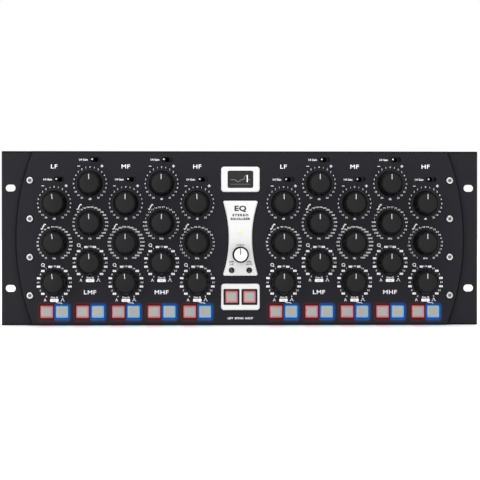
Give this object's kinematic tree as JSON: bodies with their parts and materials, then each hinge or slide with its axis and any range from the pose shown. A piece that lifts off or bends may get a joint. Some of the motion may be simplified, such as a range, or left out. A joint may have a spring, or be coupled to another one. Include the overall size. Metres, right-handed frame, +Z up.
{
  "type": "graphic equalizer",
  "caption": "Rack-mounted stereo parametric equalizer with two banks of knobs, lit push buttons, small toggles and a white waisted centre plate.",
  "frame": {"origin": "middle of the footprint, on the surface the unit stands on", "axes": "+X along the panel's width to the user's right, +Y from the front panel to the rear, +Z up"},
  "size_m": [0.4826, 0.3116, 0.1762],
  "materials": {
    "panel_paint": "fine-textured satin black anodised and painted aluminium",
    "white_plate": "smooth satin white enamel",
    "case_paint": "fine-textured black powder coat on sheet steel",
    "plated_steel": "nickel-plated steel",
    "switch_plastic": "moulded black nylon",
    "board": "green solder mask",
    "winding_tape": "wound polyester tape",
    "nickel": "satin nickel-plated die casting",
    "inlet_plastic": "moulded black nylon",
    "screw_steel": "bright zinc-plated steel",
    "rocker_plastic": "moulded black, slight gloss",
    "knob_plastic": "matte black moulded plastic",
    "lever_chrome": "polished chrome",
    "lever_black": "black-chromed steel",
    "red_cap": "translucent, lit red from behind, with a grey top plate",
    "blue_cap": "translucent, lit blue from behind, with a grey top plate"
  },
  "bodies": {
    "chassis": {"front_panel": "panel_paint", "trim_plates": "white_plate", "chassis_tray": "case_paint", "top_cover": "case_paint", "rear_panel": "case_paint", "potentiometers": "plated_steel", "switch_bodies": "switch_plastic", "circuit_boards": "board", "toroidal_transformer": "winding_tape", "xlr_connectors": "nickel", "mains_inlet": "inlet_plastic", "fasteners": "screw_steel"},
    "left_lf_gain_knob": {"left_lf_gain_knob": "knob_plastic"},
    "left_lf_freq_knob": {"left_lf_freq_knob": "knob_plastic"},
    "left_lf_q_knob": {"left_lf_q_knob": "knob_plastic"},
    "left_lf_gain_toggle": {"left_lf_gain_toggle": "lever_chrome"},
    "left_lmf_gain_knob": {"left_lmf_gain_knob": "knob_plastic"},
    "left_lmf_freq_knob": {"left_lmf_freq_knob": "knob_plastic"},
    "left_lmf_q_knob": {"left_lmf_q_knob": "knob_plastic"},
    "left_lmf_gain_toggle": {"left_lmf_gain_toggle": "lever_chrome"},
    "left_mf_gain_knob": {"left_mf_gain_knob": "knob_plastic"},
    "left_mf_freq_knob": {"left_mf_freq_knob": "knob_plastic"},
    "left_mf_q_knob": {"left_mf_q_knob": "knob_plastic"},
    "left_mf_gain_toggle": {"left_mf_gain_toggle": "lever_chrome"},
    "left_mhf_gain_knob": {"left_mhf_gain_knob": "knob_plastic"},
    "left_mhf_freq_knob": {"left_mhf_freq_knob": "knob_plastic"},
    "left_mhf_q_knob": {"left_mhf_q_knob": "knob_plastic"},
    "left_mhf_gain_toggle": {"left_mhf_gain_toggle": "lever_chrome"},
    "left_hf_gain_knob": {"left_hf_gain_knob": "knob_plastic"},
    "left_hf_freq_knob": {"left_hf_freq_knob": "knob_plastic"},
    "left_hf_q_knob": {"left_hf_q_knob": "knob_plastic"},
    "left_hf_gain_toggle": {"left_hf_gain_toggle": "lever_chrome"},
    "right_lf_gain_knob": {"right_lf_gain_knob": "knob_plastic"},
    "right_lf_freq_knob": {"right_lf_freq_knob": "knob_plastic"},
    "right_lf_q_knob": {"right_lf_q_knob": "knob_plastic"},
    "right_lf_gain_toggle": {"right_lf_gain_toggle": "lever_chrome"},
    "right_lmf_gain_knob": {"right_lmf_gain_knob": "knob_plastic"},
    "right_lmf_freq_knob": {"right_lmf_freq_knob": "knob_plastic"},
    "right_lmf_q_knob": {"right_lmf_q_knob": "knob_plastic"},
    "right_lmf_gain_toggle": {"right_lmf_gain_toggle": "lever_chrome"},
    "right_mf_gain_knob": {"right_mf_gain_knob": "knob_plastic"},
    "right_mf_freq_knob": {"right_mf_freq_knob": "knob_plastic"},
    "right_mf_q_knob": {"right_mf_q_knob": "knob_plastic"},
    "right_mf_gain_toggle": {"right_mf_gain_toggle": "lever_chrome"},
    "right_mhf_gain_knob": {"right_mhf_gain_knob": "knob_plastic"},
    "right_mhf_freq_knob": {"right_mhf_freq_knob": "knob_plastic"},
    "right_mhf_q_knob": {"right_mhf_q_knob": "knob_plastic"},
    "right_mhf_gain_toggle": {"right_mhf_gain_toggle": "lever_chrome"},
    "right_hf_gain_knob": {"right_hf_gain_knob": "knob_plastic"},
    "right_hf_freq_knob": {"right_hf_freq_knob": "knob_plastic"},
    "right_hf_q_knob": {"right_hf_q_knob": "knob_plastic"},
    "right_hf_gain_toggle": {"right_hf_gain_toggle": "lever_chrome"},
    "interval_knob": {"interval_knob": "knob_plastic"},
    "left_link_toggle": {"left_link_toggle": "lever_black"},
    "right_link_toggle": {"right_link_toggle": "lever_black"},
    "power_rocker": {"power_rocker": "rocker_plastic"},
    "left_bypass_button": {"left_bypass_button": "red_cap"},
    "right_bypass_button": {"right_bypass_button": "red_cap"},
    "red_band_buttons": {"red_band_buttons": "red_cap"},
    "blue_band_buttons": {"blue_band_buttons": "blue_cap"}
  },
  "joints": [
    {"name": "left_lf_gain_knob_turn", "type": "hinge", "parent": "chassis", "child": "left_lf_gain_knob", "pos_m": [-0.1881, -0.13925, 0.1235], "axis": [0, 1, 0], "range_deg": [-142, 158]},
    {"name": "left_lf_freq_knob_turn", "type": "hinge", "parent": "chassis", "child": "left_lf_freq_knob", "pos_m": [-0.1881, -0.13925, 0.0835], "axis": [0, 1, 0], "range_deg": [-142, 158]},
    {"name": "left_lf_q_knob_turn", "type": "hinge", "parent": "chassis", "child": "left_lf_q_knob", "pos_m": [-0.1881, -0.13925, 0.0435], "axis": [0, 1, 0], "range_deg": [-142, 158]},
    {"name": "left_lf_gain_toggle_turn", "type": "hinge", "parent": "chassis", "child": "left_lf_gain_toggle", "pos_m": [-0.1825, -0.12925, 0.1477], "axis": [0, 0, 1], "range_deg": [0, 26]},
    {"name": "left_lmf_gain_knob_turn", "type": "hinge", "parent": "chassis", "child": "left_lmf_gain_knob", "pos_m": [-0.152, -0.13925, 0.1435], "axis": [0, 1, 0], "range_deg": [-148, 152]},
    {"name": "left_lmf_freq_knob_turn", "type": "hinge", "parent": "chassis", "child": "left_lmf_freq_knob", "pos_m": [-0.152, -0.13925, 0.1035], "axis": [0, 1, 0], "range_deg": [-148, 152]},
    {"name": "left_lmf_q_knob_turn", "type": "hinge", "parent": "chassis", "child": "left_lmf_q_knob", "pos_m": [-0.152, -0.13925, 0.0635], "axis": [0, 1, 0], "range_deg": [-148, 152]},
    {"name": "left_lmf_gain_toggle_turn", "type": "hinge", "parent": "chassis", "child": "left_lmf_gain_toggle", "pos_m": [-0.1464, -0.12925, 0.1677], "axis": [0, 0, 1], "range_deg": [0, 26]},
    {"name": "left_mf_gain_knob_turn", "type": "hinge", "parent": "chassis", "child": "left_mf_gain_knob", "pos_m": [-0.1159, -0.13925, 0.1235], "axis": [0, 1, 0], "range_deg": [-150, 150]},
    {"name": "left_mf_freq_knob_turn", "type": "hinge", "parent": "chassis", "child": "left_mf_freq_knob", "pos_m": [-0.1159, -0.13925, 0.0835], "axis": [0, 1, 0], "range_deg": [-150, 150]},
    {"name": "left_mf_q_knob_turn", "type": "hinge", "parent": "chassis", "child": "left_mf_q_knob", "pos_m": [-0.1159, -0.13925, 0.0435], "axis": [0, 1, 0], "range_deg": [-145, 155]},
    {"name": "left_mf_gain_toggle_turn", "type": "hinge", "parent": "chassis", "child": "left_mf_gain_toggle", "pos_m": [-0.1103, -0.12925, 0.1477], "axis": [0, 0, 1], "range_deg": [0, 26]},
    {"name": "left_mhf_gain_knob_turn", "type": "hinge", "parent": "chassis", "child": "left_mhf_gain_knob", "pos_m": [-0.0798, -0.13925, 0.1435], "axis": [0, 1, 0], "range_deg": [-150, 150]},
    {"name": "left_mhf_freq_knob_turn", "type": "hinge", "parent": "chassis", "child": "left_mhf_freq_knob", "pos_m": [-0.0798, -0.13925, 0.1035], "axis": [0, 1, 0], "range_deg": [-152, 148]},
    {"name": "left_mhf_q_knob_turn", "type": "hinge", "parent": "chassis", "child": "left_mhf_q_knob", "pos_m": [-0.0798, -0.13925, 0.0635], "axis": [0, 1, 0], "range_deg": [-150, 150]},
    {"name": "left_mhf_gain_toggle_turn", "type": "hinge", "parent": "chassis", "child": "left_mhf_gain_toggle", "pos_m": [-0.0742, -0.12925, 0.1677], "axis": [0, 0, 1], "range_deg": [0, 26]},
    {"name": "left_hf_gain_knob_turn", "type": "hinge", "parent": "chassis", "child": "left_hf_gain_knob", "pos_m": [-0.0437, -0.13925, 0.1235], "axis": [0, 1, 0], "range_deg": [-147, 153]},
    {"name": "left_hf_freq_knob_turn", "type": "hinge", "parent": "chassis", "child": "left_hf_freq_knob", "pos_m": [-0.0437, -0.13925, 0.0835], "axis": [0, 1, 0], "range_deg": [-150, 150]},
    {"name": "left_hf_q_knob_turn", "type": "hinge", "parent": "chassis", "child": "left_hf_q_knob", "pos_m": [-0.0437, -0.13925, 0.0435], "axis": [0, 1, 0], "range_deg": [-150, 150]},
    {"name": "left_hf_gain_toggle_turn", "type": "hinge", "parent": "chassis", "child": "left_hf_gain_toggle", "pos_m": [-0.0381, -0.12925, 0.1477], "axis": [0, 0, 1], "range_deg": [0, 26]},
    {"name": "right_lf_gain_knob_turn", "type": "hinge", "parent": "chassis", "child": "right_lf_gain_knob", "pos_m": [0.0437, -0.13925, 0.1235], "axis": [0, 1, 0], "range_deg": [-148, 152]},
    {"name": "right_lf_freq_knob_turn", "type": "hinge", "parent": "chassis", "child": "right_lf_freq_knob", "pos_m": [0.0437, -0.13925, 0.0835], "axis": [0, 1, 0], "range_deg": [-150, 150]},
    {"name": "right_lf_q_knob_turn", "type": "hinge", "parent": "chassis", "child": "right_lf_q_knob", "pos_m": [0.0437, -0.13925, 0.0435], "axis": [0, 1, 0], "range_deg": [-150, 150]},
    {"name": "right_lf_gain_toggle_turn", "type": "hinge", "parent": "chassis", "child": "right_lf_gain_toggle", "pos_m": [0.0493, -0.12925, 0.1477], "axis": [0, 0, 1], "range_deg": [0, 26]},
    {"name": "right_lmf_gain_knob_turn", "type": "hinge", "parent": "chassis", "child": "right_lmf_gain_knob", "pos_m": [0.0798, -0.13925, 0.1435], "axis": [0, 1, 0], "range_deg": [-150, 150]},
    {"name": "right_lmf_freq_knob_turn", "type": "hinge", "parent": "chassis", "child": "right_lmf_freq_knob", "pos_m": [0.0798, -0.13925, 0.1035], "axis": [0, 1, 0], "range_deg": [-150, 150]},
    {"name": "right_lmf_q_knob_turn", "type": "hinge", "parent": "chassis", "child": "right_lmf_q_knob", "pos_m": [0.0798, -0.13925, 0.0635], "axis": [0, 1, 0], "range_deg": [-150, 150]},
    {"name": "right_lmf_gain_toggle_turn", "type": "hinge", "parent": "chassis", "child": "right_lmf_gain_toggle", "pos_m": [0.0854, -0.12925, 0.1677], "axis": [0, 0, 1], "range_deg": [0, 26]},
    {"name": "right_mf_gain_knob_turn", "type": "hinge", "parent": "chassis", "child": "right_mf_gain_knob", "pos_m": [0.1159, -0.13925, 0.1235], "axis": [0, 1, 0], "range_deg": [-150, 150]},
    {"name": "right_mf_freq_knob_turn", "type": "hinge", "parent": "chassis", "child": "right_mf_freq_knob", "pos_m": [0.1159, -0.13925, 0.0835], "axis": [0, 1, 0], "range_deg": [-150, 150]},
    {"name": "right_mf_q_knob_turn", "type": "hinge", "parent": "chassis", "child": "right_mf_q_knob", "pos_m": [0.1159, -0.13925, 0.0435], "axis": [0, 1, 0], "range_deg": [-150, 150]},
    {"name": "right_mf_gain_toggle_turn", "type": "hinge", "parent": "chassis", "child": "right_mf_gain_toggle", "pos_m": [0.1215, -0.12925, 0.1477], "axis": [0, 0, 1], "range_deg": [0, 26]},
    {"name": "right_mhf_gain_knob_turn", "type": "hinge", "parent": "chassis", "child": "right_mhf_gain_knob", "pos_m": [0.152, -0.13925, 0.1435], "axis": [0, 1, 0], "range_deg": [-150, 150]},
    {"name": "right_mhf_freq_knob_turn", "type": "hinge", "parent": "chassis", "child": "right_mhf_freq_knob", "pos_m": [0.152, -0.13925, 0.1035], "axis": [0, 1, 0], "range_deg": [-148, 152]},
    {"name": "right_mhf_q_knob_turn", "type": "hinge", "parent": "chassis", "child": "right_mhf_q_knob", "pos_m": [0.152, -0.13925, 0.0635], "axis": [0, 1, 0], "range_deg": [-150, 150]},
    {"name": "right_mhf_gain_toggle_turn", "type": "hinge", "parent": "chassis", "child": "right_mhf_gain_toggle", "pos_m": [0.1576, -0.12925, 0.1677], "axis": [0, 0, 1], "range_deg": [0, 26]},
    {"name": "right_hf_gain_knob_turn", "type": "hinge", "parent": "chassis", "child": "right_hf_gain_knob", "pos_m": [0.1881, -0.13925, 0.1235], "axis": [0, 1, 0], "range_deg": [-151.5, 148.5]},
    {"name": "right_hf_freq_knob_turn", "type": "hinge", "parent": "chassis", "child": "right_hf_freq_knob", "pos_m": [0.1881, -0.13925, 0.0835], "axis": [0, 1, 0], "range_deg": [-150, 150]},
    {"name": "right_hf_q_knob_turn", "type": "hinge", "parent": "chassis", "child": "right_hf_q_knob", "pos_m": [0.1881, -0.13925, 0.0435], "axis": [0, 1, 0], "range_deg": [-150, 150]},
    {"name": "right_hf_gain_toggle_turn", "type": "hinge", "parent": "chassis", "child": "right_hf_gain_toggle", "pos_m": [0.1937, -0.12925, 0.1477], "axis": [0, 0, 1], "range_deg": [0, 26]},
    {"name": "interval_knob_turn", "type": "hinge", "parent": "chassis", "child": "interval_knob", "pos_m": [0, -0.13925, 0.0716], "axis": [0, 1, 0], "range_deg": [-150, 150]},
    {"name": "left_link_toggle_turn", "type": "hinge", "parent": "chassis", "child": "left_link_toggle", "pos_m": [-0.0089, -0.13975, 0.0557], "axis": [-1, 0, 0], "range_deg": [0, 26]},
    {"name": "right_link_toggle_turn", "type": "hinge", "parent": "chassis", "child": "right_link_toggle", "pos_m": [0.0089, -0.13975, 0.0557], "axis": [-1, 0, 0], "range_deg": [0, 26]},
    {"name": "power_rocker_turn", "type": "hinge", "parent": "chassis", "child": "power_rocker", "pos_m": [0.18, 0.15185, 0.116], "axis": [-1, 0, 0], "range_deg": [0, 20]},
    {"name": "left_bypass_button_press", "type": "slide", "parent": "chassis", "child": "left_bypass_button", "axis": [0, 1, 0], "range_m": [0, 0.002], "stiffness_N_per_m": 400, "springref_m": -0.0005},
    {"name": "right_bypass_button_press", "type": "slide", "parent": "chassis", "child": "right_bypass_button", "axis": [0, 1, 0], "range_m": [0, 0.002], "stiffness_N_per_m": 400, "springref_m": -0.0005},
    {"name": "red_band_buttons_press", "type": "slide", "parent": "chassis", "child": "red_band_buttons", "axis": [0, 1, 0], "range_m": [0, 0.002], "stiffness_N_per_m": 4000, "springref_m": -0.0005},
    {"name": "blue_band_buttons_press", "type": "slide", "parent": "chassis", "child": "blue_band_buttons", "axis": [0, 1, 0], "range_m": [0, 0.002], "stiffness_N_per_m": 4000, "springref_m": -0.0005}
  ]
}
